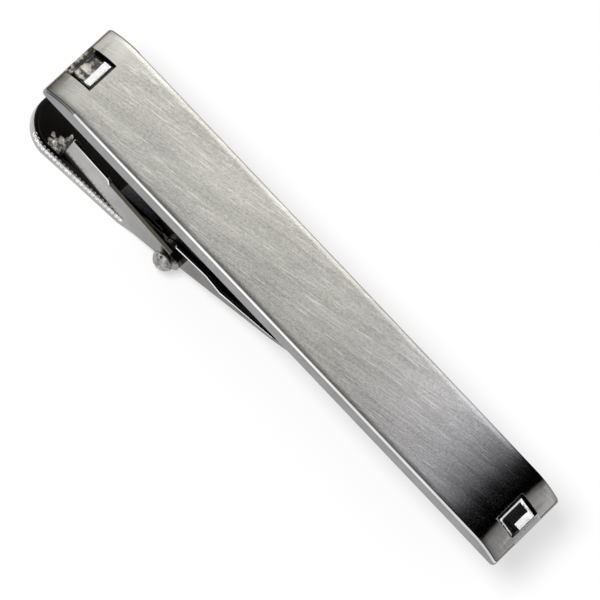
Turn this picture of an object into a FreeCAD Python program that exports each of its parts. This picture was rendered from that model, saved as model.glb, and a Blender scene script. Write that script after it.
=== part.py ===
# Tie clip: a steel bar with a stone in each end and a sprung alligator clip on its back.
# Frame: origin at the middle of the bar's back face, X along the bar, Y across it, Z out of its front.
import FreeCAD, Part
import math
import os
import Sketcher

DRIVING_SIZES = {
    # Front bar, whose ends roll down along an arc
    "bar_length": 55.0,
    "bar_width": 9.0,
    "bar_thickness": 1.3,
    "bar_corner_radius": 0.4,
    "bar_edge_radius": 0.38,
    "roll_run": 3.3,
    "roll_drop": 0.8,
    # Stones, measured on the sloping end that holds them
    "stone_inset": 1.5,
    "stone_length": 1.9,
    "stone_width": 2.95,
    "stone_table_rise": 0.08,
    "stone_crown": 0.28,
    "stone_girdle": 0.05,
    "stone_pavilion": 0.36,
    "seat_gap": 0.28,
    "seat_depth": 0.38,
    "seat_ledge": 0.44,
    "well_depth": 0.66,
    "end_slot_depth": 0.26,
    # Hinge pin, placed from the pad end of the bar and from the bar's back
    "pin_inset": 17.26,
    "pin_drop": 5.55,
    "pin_radius": 0.38,
    "pin_clearance": 0.03,
    "head_neck_radius": 0.6,
    "head_radius": 1.06,
    "head_under": 0.5,
    "head_dome": 0.72,
    "head_edge_radius": 0.12,
    # Bracket on the back of the bar
    "bracket_sheet": 0.5,
    "bracket_half_width": 2.6,
    "bracket_tail": 8.3,
    "bracket_foot_left": 5.2,
    "bracket_foot_right": 4.3,
    "bracket_ear_radius": 1.1,
    # Jaw, nested in the thumb lever: reaches are from the pin, and the bend's drop is from the bar's back
    "jaw_sheet": 0.4,
    "jaw_side_gap": 0.08,
    "jaw_ear_radius": 1.4,
    "jaw_floor_start": 1.7,
    "jaw_floor_below_pin": 0.5,
    "jaw_bend_reach": 17.9,
    "jaw_bend_drop": 1.25,
    "jaw_lip_run": 1.1,
    "jaw_tip_gap": 0.06,
    "jaw_tip_half_width": 2.55,
    "jaw_taper_run": 8.0,
    "jaw_wall_top_reach": 3.4,
    "jaw_wall_top_above_pin": 1.73,
    "jaw_kink_reach": 5.35,
    "jaw_kink_above_pin": 1.43,
    "jaw_rail_setback": 5.6,
    "tooth_pitch": 0.85,
    "tooth_depth": 0.5,
    # Thumb lever, with reaches and heights from the pin
    "lever_sheet": 0.5,
    "lever_side_gap": 0.02,
    "lever_below_pin": 2.1,
    "pad_reach": 16.92,
    "pad_half_width": 4.3,
    "pad_corner_radius": 3.1,
    "pad_neck_reach": 5.06,
    "rim_height": 1.25,
    "floor_end_reach": 3.4,
    "floor_end_below_pin": 1.4,
    "floor_tail_reach": 1.35,
    "floor_tail_below_pin": 1.28,
    "wall_end_reach": 12.5,
    "wall_top_above_pin": 2.05,
    "wall_step_reach": 8.1,
    "wall_step_above_pin": 1.81,
    "arm_top_reach": 7.75,
    "arm_top_above_pin": 1.35,
    "arm_half_height": 0.78,
    "arm_tip_reach": 1.39,
    "arm_foot_reach": 1.3,
    # Leaf spring
    "spring_sheet": 0.2,
    "spring_half_width": 1.7,
    "spring_pin_gap": 0.07,
    "spring_upper_knee": 1.3,
    "spring_upper_reach": 7.4,
    "spring_lower_knee": 3.2,
    "spring_lower_reach": 6.8,
    "spring_rest_gap": 0.03,
    # How far a cut runs past the solid that it cuts
    "overrun": 1.0,
}

# Stone facets, from the table down to the girdle and on to the keel: share of the height, share of the size
CROWN_SHARES = [(1.0, 0.5), (0.55, 0.82), (0.0, 1.0)]
PAVILION_SHARES = [(0.0, 1.0), (0.5, 0.72), (1.0, 0.16)]
TOOTH_COUNT = 5
# Share of a size that an edge has to pass before it is picked for rounding
PICK_SHARE = 0.9


class Size:
    """A length or an angle that knows its number and the expression that gives it from the sheet."""

    def __init__(self, number, text):
        self.number = number
        self.text = text

    def joined(self, other, sign, number):
        text = other.text if isinstance(other, Size) else repr(other)
        return Size(number, f"({self.text} {sign} {text})")

    def __add__(self, other):
        return self.joined(other, "+", self.number + number_of(other))

    def __sub__(self, other):
        return self.joined(other, "-", self.number - number_of(other))

    def __mul__(self, other):
        return self.joined(other, "*", self.number * number_of(other))

    def __truediv__(self, other):
        return self.joined(other, "/", self.number / number_of(other))

    def __neg__(self):
        return Size(-self.number, f"(-{self.text})")


def number_of(value):
    return value.number if isinstance(value, Size) else float(value)


def text_of(value):
    return value.text if isinstance(value, Size) else repr(value)


def root(value):
    return Size(math.sqrt(value.number), f"sqrt({value.text})")


def arc_sine(ratio):
    return Size(math.degrees(math.asin(ratio.number)), f"asin({ratio.text})")


def sine(angle):
    return Size(math.sin(math.radians(angle.number)), f"sin({angle.text})")


def cosine(angle):
    return Size(math.cos(math.radians(angle.number)), f"cos({angle.text})")


doc = FreeCAD.newDocument("tie_clip")
sheet = doc.addObject("Spreadsheet::Sheet", "Sizes")
for row, (name, number) in enumerate(DRIVING_SIZES.items(), start=1):
    sheet.set(f"A{row}", name)
    sheet.set(f"B{row}", str(number))
    sheet.setAlias(f"B{row}", name)
doc.recompute()
size = {name: Size(number, f"Sizes.{name}") for name, number in DRIVING_SIZES.items()}


def new_body(label):
    body = doc.addObject("PartDesign::Body", label)
    body.Label = label
    return body


def new_sketch(body, name, plane_role, offset=None):
    sketch = body.newObject("Sketcher::SketchObject", name)
    plane = next(feature for feature in body.Origin.OriginFeatures if feature.Role == plane_role)
    sketch.AttachmentSupport = [(plane, "")]
    sketch.MapMode = "FlatFace"
    if offset is not None:
        sketch.setExpression("AttachmentOffset.Base.z", text_of(offset))
    return sketch


def fix_measure(sketch, constraint, value):
    index = sketch.addConstraint(constraint)
    if isinstance(value, Size):
        sketch.setExpression(f"Constraints[{index}]", value.text)


def fix_coordinate(sketch, kind, edge, end, value):
    fix_measure(sketch, Sketcher.Constraint(kind, edge, end, number_of(value)), value)


def fix_point(sketch, edge, end, point):
    fix_coordinate(sketch, "DistanceX", edge, end, point[0])
    fix_coordinate(sketch, "DistanceY", edge, end, point[1])


def plain_vector(point):
    return FreeCAD.Vector(number_of(point[0]), number_of(point[1]), 0)


def arc_geometry(start, end, centre, turn):
    first, last = (start, end) if turn > 0 else (end, start)
    middle, first, last = plain_vector(centre), plain_vector(first), plain_vector(last)
    angles = [math.atan2(point.y - middle.y, point.x - middle.x) for point in (first, last)]
    circle = Part.Circle(middle, FreeCAD.Vector(0, 0, 1), (first - middle).Length)
    return Part.ArcOfCircle(circle, angles[0], angles[1])


def draw_outline(sketch, corners):
    """Closed outline. A corner is (x, y), or (x, y, centre, turn, held) where an arc leads to it.

    turn is 1 for an anticlockwise arc and -1 for a clockwise one, and held names the one coordinate of the
    arc's end that is fixed, because its centre and its start give the other.
    """
    edges = []
    for index, corner in enumerate(corners):
        start = corners[index - 1]
        if len(corner) == 2:
            edges.append(sketch.addGeometry(Part.LineSegment(plain_vector(start), plain_vector(corner))))
        else:
            edges.append(sketch.addGeometry(arc_geometry(start, corner, corner[2], corner[3])))

    def end_of(index):
        clockwise = len(corners[index]) > 2 and corners[index][3] < 0
        return 1 if clockwise else 2

    for index, corner in enumerate(corners):
        following = (index + 1) % len(corners)
        start_of_next = 3 - end_of(following)
        meeting = (edges[index], end_of(index), edges[following], start_of_next)
        sketch.addConstraint(Sketcher.Constraint("Coincident", *meeting))
        if len(corner) == 2:
            fix_point(sketch, edges[index], end_of(index), corner)
        else:
            fix_point(sketch, edges[index], 3, corner[2])
            axis = "xy".index(corner[4])
            kind = ("DistanceX", "DistanceY")[axis]
            fix_coordinate(sketch, kind, edges[index], end_of(index), corner[axis])


def draw_circle(sketch, centre, radius):
    circle = Part.Circle(plain_vector(centre), FreeCAD.Vector(0, 0, 1), number_of(radius))
    edge = sketch.addGeometry(circle)
    fix_point(sketch, edge, 3, centre)
    fix_measure(sketch, Sketcher.Constraint("Radius", edge, number_of(radius)), radius)


def add_sweep(body, kind, name, sketch, length, symmetric=True, backwards=False):
    feature = body.newObject(f"PartDesign::{kind}", name)
    feature.Profile = sketch
    feature.setExpression("Length", text_of(length))
    feature.SideType = "Symmetric" if symmetric else "One side"
    feature.Reversed = backwards
    doc.recompute()
    return feature


def outline_sweep(body, kind, name, plane_role, outlines, length,
                  offset=None, symmetric=True, backwards=False):
    sketch = new_sketch(body, f"{name}_outline", plane_role, offset)
    for outline in outlines:
        draw_outline(sketch, outline)
    return add_sweep(body, kind, name, sketch, length, symmetric, backwards)


def add_mirror(body, name, original, plane_role):
    mirror = body.newObject("PartDesign::Mirrored", name)
    mirror.Originals = [original]
    plane = next(feature for feature in body.Origin.OriginFeatures if feature.Role == plane_role)
    mirror.MirrorPlane = (plane, [""])
    body.Tip = mirror
    doc.recompute()
    return mirror


def round_edges(body, name, radius, wanted):
    base = body.Tip
    names = [f"Edge{index}" for index, edge in enumerate(base.Shape.Edges, start=1) if wanted(edge)]
    fillet = body.newObject("PartDesign::Fillet", name)
    fillet.Base = (base, names)
    fillet.setExpression("Radius", text_of(radius))
    doc.recompute()
    return fillet


def rectangle(low_x, low_y, high_x, high_y):
    return [(low_x, low_y), (high_x, low_y), (high_x, high_y), (low_x, high_y)]


def bore_for_pin(body, name):
    sketch = new_sketch(body, f"{name}_outline", "XZ_Plane")
    draw_circle(sketch, (pin_x, pin_z), size["pin_radius"] + size["pin_clearance"])
    return add_sweep(body, "Pocket", name, sketch, cut_across)


# Places that several pieces share
half_length = size["bar_length"] / 2
half_width = size["bar_width"] / 2
pin_x = size["pin_inset"] - half_length
pin_z = -size["pin_drop"]
overrun = size["overrun"]
cut_across = size["bar_width"] + overrun * 2
lever_z = pin_z - size["lever_below_pin"]
floor_end_z = pin_z - size["floor_end_below_pin"]
jaw_floor_z = pin_z - size["jaw_floor_below_pin"]
cut_down = (overrun - lever_z) * 2
roll_chord_squared = size["roll_run"] * size["roll_run"] + size["roll_drop"] * size["roll_drop"]
roll_radius = roll_chord_squared / (size["roll_drop"] * 2)
roll_start = half_length - size["roll_run"]
jaw_half_width = size["bracket_half_width"] + size["jaw_side_gap"] + size["jaw_sheet"]
lever_inner = jaw_half_width + size["lever_side_gap"]
lever_half_width = lever_inner + size["lever_sheet"]
stone_run = size["roll_run"] - size["stone_inset"]
stone_x = half_length - size["stone_inset"]
stone_z = size["bar_thickness"] - roll_radius + root(roll_radius * roll_radius - stone_run * stone_run)
stone_tilt = arc_sine(stone_run / roll_radius)


def on_end(side, along, up):
    """Place in the bar's X-Z section, from outwards along the sloping end and up out of it."""
    x = stone_x + along * cosine(stone_tilt) + up * sine(stone_tilt)
    z = stone_z - along * sine(stone_tilt) + up * cosine(stone_tilt)
    return (x, z) if side > 0 else (-x, z)


def tilted_rectangle(side, low_along, low_up, high_along, high_up):
    corners = rectangle(low_along, low_up, high_along, high_up)
    return [on_end(side, along, up) for along, up in corners]


def make_bar():
    body = new_body("bar")
    plan = rectangle(-half_length, -half_width, half_length, half_width)
    outline_sweep(body, "Pad", "bar_plate", "XY_Plane", [plan], size["bar_thickness"], symmetric=False)
    round_edges(body, "bar_corners", size["bar_corner_radius"], is_upright)
    rolls = []
    top = size["bar_thickness"]
    for side in (1, -1):
        centre = (roll_start * side, top - roll_radius)
        rolls.append([
            (roll_start * side, top + overrun),
            (roll_start * side, top),
            (half_length * side, top - size["roll_drop"], centre, -side, "x"),
            ((half_length + overrun) * side, top - size["roll_drop"]),
            ((half_length + overrun) * side, top + overrun),
        ])
    outline_sweep(body, "Pocket", "bar_rolls", "XZ_Plane", rolls, cut_across)
    round_edges(body, "bar_edges", size["bar_edge_radius"], is_bar_top_edge)
    seat_half = size["stone_length"] / 2 + size["seat_gap"]
    seat_width = size["stone_width"] + size["seat_gap"] * 2
    well_half = seat_half - size["seat_ledge"]
    well_width = seat_width - size["seat_ledge"] * 2
    sides = (1, -1)
    seats = [tilted_rectangle(side, -seat_half, -size["seat_depth"], seat_half, overrun) for side in sides]
    wells = [tilted_rectangle(side, -well_half, -size["well_depth"], well_half, overrun) for side in sides]
    slot_end = size["stone_inset"] + overrun
    slot_floor = -size["end_slot_depth"]
    slots = [tilted_rectangle(side, seat_half, slot_floor, slot_end, overrun) for side in sides]
    outline_sweep(body, "Pocket", "stone_seats", "XZ_Plane", seats, seat_width)
    outline_sweep(body, "Pocket", "stone_wells", "XZ_Plane", wells, well_width)
    outline_sweep(body, "Pocket", "end_slots", "XZ_Plane", slots, seat_width)
    return body


def is_upright(edge):
    low, high = edge.BoundBox.ZMin, edge.BoundBox.ZMax
    return high - low > number_of(size["bar_thickness"]) / 2


def is_bar_top_edge(edge):
    box = edge.BoundBox
    limit = number_of(size["bar_thickness"] - size["roll_drop"]) * PICK_SHARE
    if box.ZMin < limit or box.XLength < number_of(size["bar_corner_radius"]) * 2:
        return False
    return box.YLength < number_of(size["bar_corner_radius"]) / 2


def make_stone(label, side):
    body = new_body(label)
    girdle = size["stone_table_rise"] - size["stone_crown"]
    levels = [(girdle + size["stone_crown"] * height, share) for height, share in CROWN_SHARES]
    base = girdle - size["stone_girdle"]
    levels += [(base - size["stone_pavilion"] * depth, share) for depth, share in PAVILION_SHARES]
    sketches = []
    for index, (height, share) in enumerate(levels):
        sketch = new_sketch(body, f"{label}_step_{index}", "XY_Plane", height)
        half_along = size["stone_length"] * share / 2
        half_across = size["stone_width"] / 2 - size["stone_length"] * (1 - share) / 2
        draw_outline(sketch, rectangle(-half_along, -half_across, half_along, half_across))
        sketches.append(sketch)
    loft = body.newObject("PartDesign::AdditiveLoft", f"{label}_facets")
    loft.Profile = sketches[0]
    loft.Sections = sketches[1:]
    loft.Ruled = True
    body.Placement = FreeCAD.Placement(FreeCAD.Vector(), FreeCAD.Rotation(FreeCAD.Vector(0, 1, 0), 1))
    body.setExpression("Placement.Base.x", text_of(stone_x * side))
    body.setExpression("Placement.Base.z", text_of(stone_z))
    body.setExpression("Placement.Rotation.Angle", text_of(stone_tilt * side))
    doc.recompute()
    return body


def make_bracket():
    body = new_body("base_bracket")
    half = size["bracket_half_width"]
    sheet_size = size["bracket_sheet"]
    ear_radius = size["bracket_ear_radius"]
    plate = rectangle(pin_x - size["bracket_tail"], -half, pin_x + size["bracket_foot_right"], half)
    outline_sweep(
        body, "Pad", "bracket_plate", "XY_Plane", [plate], sheet_size, symmetric=False, backwards=True)
    ear = [
        (pin_x + size["bracket_foot_right"], -sheet_size / 2),
        (pin_x - size["bracket_foot_left"], -sheet_size / 2),
        (pin_x - ear_radius, pin_z),
        (pin_x + ear_radius, pin_z, (pin_x, pin_z), 1, "y"),
    ]
    near_ear = outline_sweep(
        body, "Pad", "near_ear", "XZ_Plane", [ear], sheet_size,
        offset=half, symmetric=False, backwards=True)
    add_mirror(body, "far_ear", near_ear, "XZ_Plane")
    bore_for_pin(body, "bracket_bore")
    return body


def jaw_floor_slope():
    rise = -size["jaw_bend_drop"] - jaw_floor_z
    return rise / (size["jaw_bend_reach"] - size["jaw_floor_start"])


def make_jaw():
    body = new_body("jaw")
    sheet_size = size["jaw_sheet"]
    start = size["jaw_floor_start"]
    bend = size["jaw_bend_reach"]
    lip = bend + size["jaw_lip_run"]
    taper_start = lip - size["jaw_taper_run"]
    bottom_bend = -size["jaw_bend_drop"]
    lip_top = -size["jaw_tip_gap"]
    floor = [
        (pin_x + start, jaw_floor_z),
        (pin_x + bend, bottom_bend),
        (pin_x + lip, lip_top - sheet_size / 2),
        (pin_x + lip, lip_top),
        (pin_x + lip - sheet_size, lip_top),
        (pin_x + bend - sheet_size, bottom_bend + sheet_size),
        (pin_x + start, jaw_floor_z + sheet_size),
    ]
    outline_sweep(body, "Pad", "jaw_floor", "XZ_Plane", [floor], jaw_half_width * 2)
    near_rail = jaw_wall_outline()
    near_wall = outline_sweep(
        body, "Pad", "near_jaw_wall", "XZ_Plane", [near_rail], sheet_size,
        offset=jaw_half_width, symmetric=False, backwards=True)
    add_mirror(body, "far_jaw_wall", near_wall, "XZ_Plane")
    tapers = []
    for side in (1, -1):
        tapers.append([
            (pin_x + taper_start, jaw_half_width * side),
            (pin_x + lip + overrun, size["jaw_tip_half_width"] * side),
            (pin_x + lip + overrun, (jaw_half_width + overrun) * side),
            (pin_x + taper_start, (jaw_half_width + overrun) * side),
        ])
    outline_sweep(body, "Pocket", "jaw_taper", "XY_Plane", tapers, cut_down)
    notches = []
    for index in range(TOOTH_COUNT):
        middle = size["tooth_pitch"] * (index - (TOOTH_COUNT - 1) / 2)
        notches.append([
            (middle, lip_top - size["tooth_depth"]),
            (middle + size["tooth_pitch"] / 2, lip_top),
            (middle + size["tooth_pitch"] / 2, lip_top + size["tooth_depth"]),
            (middle - size["tooth_pitch"] / 2, lip_top + size["tooth_depth"]),
            (middle - size["tooth_pitch"] / 2, lip_top),
        ])
    for index, notch in enumerate(notches):
        outline_sweep(
            body, "Pocket", f"tooth_gap_{index}", "YZ_Plane", [notch], lip,
            offset=pin_x + bend, symmetric=False, backwards=True)
    bore_for_pin(body, "jaw_bore")
    return body


def jaw_wall_outline():
    slope = jaw_floor_slope()
    start = size["jaw_floor_start"]
    ear_radius = size["jaw_ear_radius"]
    rail_end = size["jaw_bend_reach"] - size["jaw_rail_setback"]
    rail_z = jaw_floor_z + slope * (rail_end - start)
    return [
        (pin_x + start, jaw_floor_z),
        (pin_x + rail_end, rail_z),
        (pin_x + rail_end, rail_z + size["jaw_sheet"]),
        (pin_x + size["jaw_kink_reach"], pin_z + size["jaw_kink_above_pin"]),
        (pin_x + size["jaw_wall_top_reach"], pin_z + size["jaw_wall_top_above_pin"]),
        (pin_x, pin_z + ear_radius),
        (pin_x - ear_radius, pin_z, (pin_x, pin_z), 1, "y"),
        (pin_x, jaw_floor_z - slope * start),
    ]


def make_pin():
    body = new_body("hinge_pin")
    sketch = new_sketch(body, "pin_profile", "XY_Plane")
    radius = size["pin_radius"]
    neck = size["head_neck_radius"]
    seat = lever_half_width
    equator = seat + size["head_under"]
    tip = equator + size["head_dome"]
    cap = size["head_radius"] * size["head_radius"] + size["head_dome"] * size["head_dome"]
    dome_radius = cap / (size["head_dome"] * 2)
    profile = [
        (0, -tip),
        (size["head_radius"], -equator, (0, dome_radius - tip), 1, "y"),
        (neck, -seat),
        (radius, -seat),
        (radius, seat),
        (neck, seat),
        (size["head_radius"], equator),
        (0, tip, (0, tip - dome_radius), 1, "x"),
    ]
    draw_outline(sketch, profile)
    turned = body.newObject("PartDesign::Revolution", "pin_turned")
    turned.Profile = sketch
    turned.ReferenceAxis = (sketch, ["V_Axis"])
    turned.Angle = 360.0
    body.setExpression("Placement.Base.x", text_of(pin_x))
    body.setExpression("Placement.Base.z", text_of(pin_z))
    doc.recompute()
    limit = number_of(size["head_radius"] * 2) * PICK_SHARE
    round_edges(body, "head_edges", size["head_edge_radius"], lambda edge: edge.BoundBox.XLength > limit)
    return body


def pad_outline(inset):
    """Plan of the thumb pad, or of the dish inside it when inset is the wall."""
    half = size["pad_half_width"] - inset
    corner = size["pad_corner_radius"] - inset
    tip = pin_x - size["pad_reach"] + inset
    neck = pin_x - size["pad_neck_reach"]
    neck_half = lever_half_width - inset
    centre_x = pin_x - size["pad_reach"] + size["pad_corner_radius"]
    centre_y = size["pad_half_width"] - size["pad_corner_radius"]
    return [
        (neck, neck_half),
        (centre_x, half),
        (tip, centre_y, (centre_x, centre_y), 1, "y"),
        (tip, -centre_y),
        (centre_x, -half, (centre_x, -centre_y), 1, "x"),
        (neck, -neck_half),
    ]


def make_thumb_lever():
    body = new_body("thumb_lever")
    sheet_size = size["lever_sheet"]
    outline_sweep(
        body, "Pad", "pad_dish", "XY_Plane", [pad_outline(0)], size["rim_height"],
        offset=lever_z, symmetric=False)
    outline_sweep(
        body, "Pocket", "pad_hollow", "XY_Plane", [pad_outline(sheet_size)], size["rim_height"],
        offset=lever_z + sheet_size, symmetric=False, backwards=True)
    neck = pin_x - size["pad_neck_reach"]
    floor_end = pin_x - size["floor_end_reach"]
    floor = [
        (neck, lever_z),
        (floor_end, floor_end_z),
        (floor_end, floor_end_z + sheet_size),
        (neck, lever_z + sheet_size),
    ]
    outline_sweep(body, "Pad", "lever_floor", "XZ_Plane", [floor], lever_half_width * 2)
    tail_end = pin_x - size["floor_tail_reach"]
    tail_z = pin_z - size["floor_tail_below_pin"]
    tail = [
        (floor_end, floor_end_z),
        (tail_end, tail_z),
        (tail_end, tail_z + sheet_size),
        (floor_end, floor_end_z + sheet_size),
    ]
    outline_sweep(body, "Pad", "floor_tail", "XZ_Plane", [tail], lever_inner * 2)
    near_wall = outline_sweep(
        body, "Pad", "near_wall", "XZ_Plane", [lever_wall_outline()], sheet_size,
        offset=lever_half_width, symmetric=False, backwards=True)
    add_mirror(body, "far_wall", near_wall, "XZ_Plane")
    bore_for_pin(body, "lever_bore")
    return body


def lever_wall_outline():
    """Side wall from the pad to the round ear on the pin, in the X-Z section."""
    arm = size["arm_half_height"]
    tip_centre = pin_x + size["arm_tip_reach"] - arm
    foot_z = lever_z + size["lever_sheet"] / 2
    return [
        (pin_x - size["wall_end_reach"], foot_z),
        (pin_x - size["pad_neck_reach"], foot_z),
        (pin_x - size["pad_neck_reach"], lever_z),
        (pin_x - size["floor_end_reach"], floor_end_z),
        (pin_x - size["arm_foot_reach"], pin_z - arm),
        (tip_centre, pin_z - arm),
        (tip_centre, pin_z + arm, (tip_centre, pin_z), 1, "x"),
        (pin_x, pin_z + arm),
        (pin_x - size["arm_top_reach"], pin_z + size["arm_top_above_pin"]),
        (pin_x - size["wall_step_reach"], pin_z + size["wall_step_above_pin"]),
        (pin_x - size["wall_end_reach"], pin_z + size["wall_top_above_pin"]),
    ]


def make_spring():
    body = new_body("leaf_spring")
    thin = size["spring_sheet"]
    inner = size["pin_radius"] + size["spring_pin_gap"]
    outer = inner + thin
    upper_end = -size["bracket_sheet"] - size["spring_rest_gap"]
    lower_end = lever_z + size["lever_sheet"] + size["spring_rest_gap"]
    upper_knee = pin_x - size["spring_upper_knee"]
    lower_knee = pin_x - size["spring_lower_knee"]
    upper_tip = pin_x - size["spring_upper_reach"]
    lower_tip = pin_x - size["spring_lower_reach"]
    strip = [
        (upper_knee, pin_z + outer),
        (upper_tip, upper_end),
        (upper_tip, upper_end - thin),
        (upper_knee, pin_z + inner),
        (pin_x, pin_z + inner),
        (pin_x, pin_z - inner, (pin_x, pin_z), -1, "x"),
        (lower_knee, pin_z - inner),
        (lower_tip, lower_end + thin),
        (lower_tip, lower_end),
        (lower_knee, pin_z - outer),
        (pin_x, pin_z - outer),
        (pin_x, pin_z + outer, (pin_x, pin_z), 1, "x"),
    ]
    outline_sweep(body, "Pad", "spring_strip", "XZ_Plane", [strip], size["spring_half_width"] * 2)
    return body


def check_and_write(bodies):
    doc.recompute()
    for item in doc.Objects:
        if "Invalid" in item.State or "Error" in item.State:
            raise RuntimeError(f"{item.Label} failed: {item.State}")
    for body in bodies:
        if body.Shape.isNull() or not body.Shape.isValid():
            raise RuntimeError(f"{body.Label} has no valid shape")
    os.makedirs("parts", exist_ok=True)
    for body in bodies:
        body.Shape.exportStep(f"parts/{body.Label}.step")
        box = body.Shape.BoundBox
        print(f"{body.Label}: {len(body.Shape.Solids)} solid, {body.Shape.Volume:.3f} mm3, "
              f"X {box.XMin:.2f} to {box.XMax:.2f}, Y {box.YMin:.2f} to {box.YMax:.2f}, "
              f"Z {box.ZMin:.2f} to {box.ZMax:.2f}")


check_and_write([
    make_bar(),
    make_stone("stone_left", -1),
    make_stone("stone_right", 1),
    make_bracket(),
    make_jaw(),
    make_pin(),
    make_thumb_lever(),
    make_spring(),
])
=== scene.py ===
# Tie clip: finishes for a brushed steel bar with two stones and a plated spring clip behind it.
import math

import bmesh
import bpy
from mathutils import Matrix, Vector, noise


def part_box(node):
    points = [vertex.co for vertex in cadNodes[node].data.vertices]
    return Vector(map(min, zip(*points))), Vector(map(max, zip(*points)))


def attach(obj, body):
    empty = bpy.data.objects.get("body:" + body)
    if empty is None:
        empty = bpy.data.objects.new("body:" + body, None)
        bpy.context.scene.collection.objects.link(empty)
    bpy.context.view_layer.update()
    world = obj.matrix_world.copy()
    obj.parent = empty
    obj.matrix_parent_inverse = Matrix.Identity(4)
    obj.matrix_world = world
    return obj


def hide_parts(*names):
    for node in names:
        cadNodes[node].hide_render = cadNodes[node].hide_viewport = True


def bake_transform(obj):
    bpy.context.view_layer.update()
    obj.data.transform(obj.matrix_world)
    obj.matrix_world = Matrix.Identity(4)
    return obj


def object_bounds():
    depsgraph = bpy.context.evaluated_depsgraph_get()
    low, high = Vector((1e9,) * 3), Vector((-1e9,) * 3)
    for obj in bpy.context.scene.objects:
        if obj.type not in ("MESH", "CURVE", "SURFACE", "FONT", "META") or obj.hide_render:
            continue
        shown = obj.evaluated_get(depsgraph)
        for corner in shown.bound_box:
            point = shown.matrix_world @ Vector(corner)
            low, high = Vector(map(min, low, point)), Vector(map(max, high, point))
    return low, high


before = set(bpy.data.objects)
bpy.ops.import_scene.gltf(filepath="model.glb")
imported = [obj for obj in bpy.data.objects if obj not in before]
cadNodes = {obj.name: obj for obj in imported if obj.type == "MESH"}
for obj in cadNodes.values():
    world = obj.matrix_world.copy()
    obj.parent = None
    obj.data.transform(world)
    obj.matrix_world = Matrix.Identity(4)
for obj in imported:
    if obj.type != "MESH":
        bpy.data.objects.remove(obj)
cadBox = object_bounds()
scene = bpy.context.scene
scene.view_settings.view_transform = "Standard"
mm = 0.001
print("frame loaded:", len(cadNodes), "nodes")


# Node trees: an input is a link where its value is a socket, and a plain value otherwise
def feed(tree, node, inputs):
    for name, value in inputs.items():
        if isinstance(value, bpy.types.NodeSocket):
            tree.links.new(value, node.inputs[name])
        else:
            node.inputs[name].default_value = value


def makeNode(tree, kind, settings=None, inputs=None):
    node = tree.nodes.new(kind)
    for name, value in (settings or {}).items():
        setattr(node, name, value)
    feed(tree, node, inputs or {})
    return node


def doMath(tree, operation, first, second=0.0):
    return makeNode(tree, "ShaderNodeMath", {"operation": operation}, {0: first, 1: second}).outputs[0]


def mapRange(tree, value, low, high, newLow, newHigh):
    inputs = {"Value": value, "From Min": low, "From Max": high, "To Min": newLow, "To Max": newHigh}
    return makeNode(tree, "ShaderNodeMapRange", None, inputs).outputs["Result"]


def mixColours(tree, factor, first, second, blend="MIX"):
    settings = {"data_type": "RGBA", "blend_type": blend}
    return makeNode(tree, "ShaderNodeMix", settings, {0: factor, 6: first, 7: second}).outputs[2]


def newGroup(name, inputs, outputs):
    group = bpy.data.node_groups.new(name, "ShaderNodeTree")
    for label, kind, value in inputs:
        socket = group.interface.new_socket(label, in_out="INPUT", socket_type=kind)
        if value is not None:
            socket.default_value = value
    for label, kind in outputs:
        group.interface.new_socket(label, in_out="OUTPUT", socket_type=kind)
    return group, group.nodes.new("NodeGroupInput"), group.nodes.new("NodeGroupOutput")


# Brush marks along X, turned by Lean. Each layer's sizes are shares of Length and Width.
brushLayers = {
    "Grain": {"lengthShare": 0.08, "widthShare": 0.5, "detail": 2.0, "low": 0.3, "high": 0.7},
    "Streak": {"lengthShare": 1.6, "widthShare": 0.7, "detail": 2.0, "low": 0.3, "high": 0.7},
    "Cloud": {"lengthShare": 3.6, "widthShare": 8.0, "detail": 2.0, "low": 0.3, "high": 0.7},
    "Scratch": {"lengthShare": 0.75, "widthShare": 0.5, "detail": 0.0, "low": 0.66, "high": 0.78},
}
brushRoughness = 0.6


def makeBrushGroup():
    inputs = [
        ("Vector", "NodeSocketVector", None),
        ("Lean", "NodeSocketFloat", 0.0),
        ("Length", "NodeSocketFloat", 2.0 * mm),
        ("Width", "NodeSocketFloat", 0.1 * mm),
    ]
    group, start, end = newGroup("brushMarks", inputs, [(name, "NodeSocketFloat") for name in brushLayers])
    turn = makeNode(group, "ShaderNodeCombineXYZ", None, {"Z": start.outputs["Lean"]})
    turned = makeNode(group, "ShaderNodeMapping", None, {
        "Vector": start.outputs["Vector"],
        "Rotation": turn.outputs[0],
    })
    for name, layer in brushLayers.items():
        along = doMath(group, "DIVIDE", 1.0 / layer["lengthShare"], start.outputs["Length"])
        across = doMath(group, "DIVIDE", 1.0 / layer["widthShare"], start.outputs["Width"])
        stretch = makeNode(group, "ShaderNodeCombineXYZ", None, {"X": along, "Y": across, "Z": along})
        place = makeNode(group, "ShaderNodeVectorMath", {"operation": "MULTIPLY"}, {
            0: turned.outputs[0],
            1: stretch.outputs[0],
        })
        texture = makeNode(group, "ShaderNodeTexNoise", None, {
            "Vector": place.outputs[0],
            "Scale": 1.0,
            "Detail": layer["detail"],
            "Roughness": brushRoughness,
        })
        mark = mapRange(group, texture.outputs["Fac"], layer["low"], layer["high"], 0.0, 1.0)
        group.links.new(mark, end.inputs[name])
    return group


# Handling marks: cloudy smudges and sparse fine scuffs. Scuffs are finer than clouds by scuffFiner.
handlingMarks = {
    "size": 3.0 * mm,
    "cloudDetail": 4.0,
    "cloudRoughness": 0.62,
    "cloudRange": (0.35, 0.68),
    "scuffFiner": 9.0,
    "scuffDetail": 2.0,
    "scuffRoughness": 0.7,
    "scuffFrom": 0.58,
    "scuffTo": 0.74,
    "scuffShare": 0.6,
}


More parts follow.
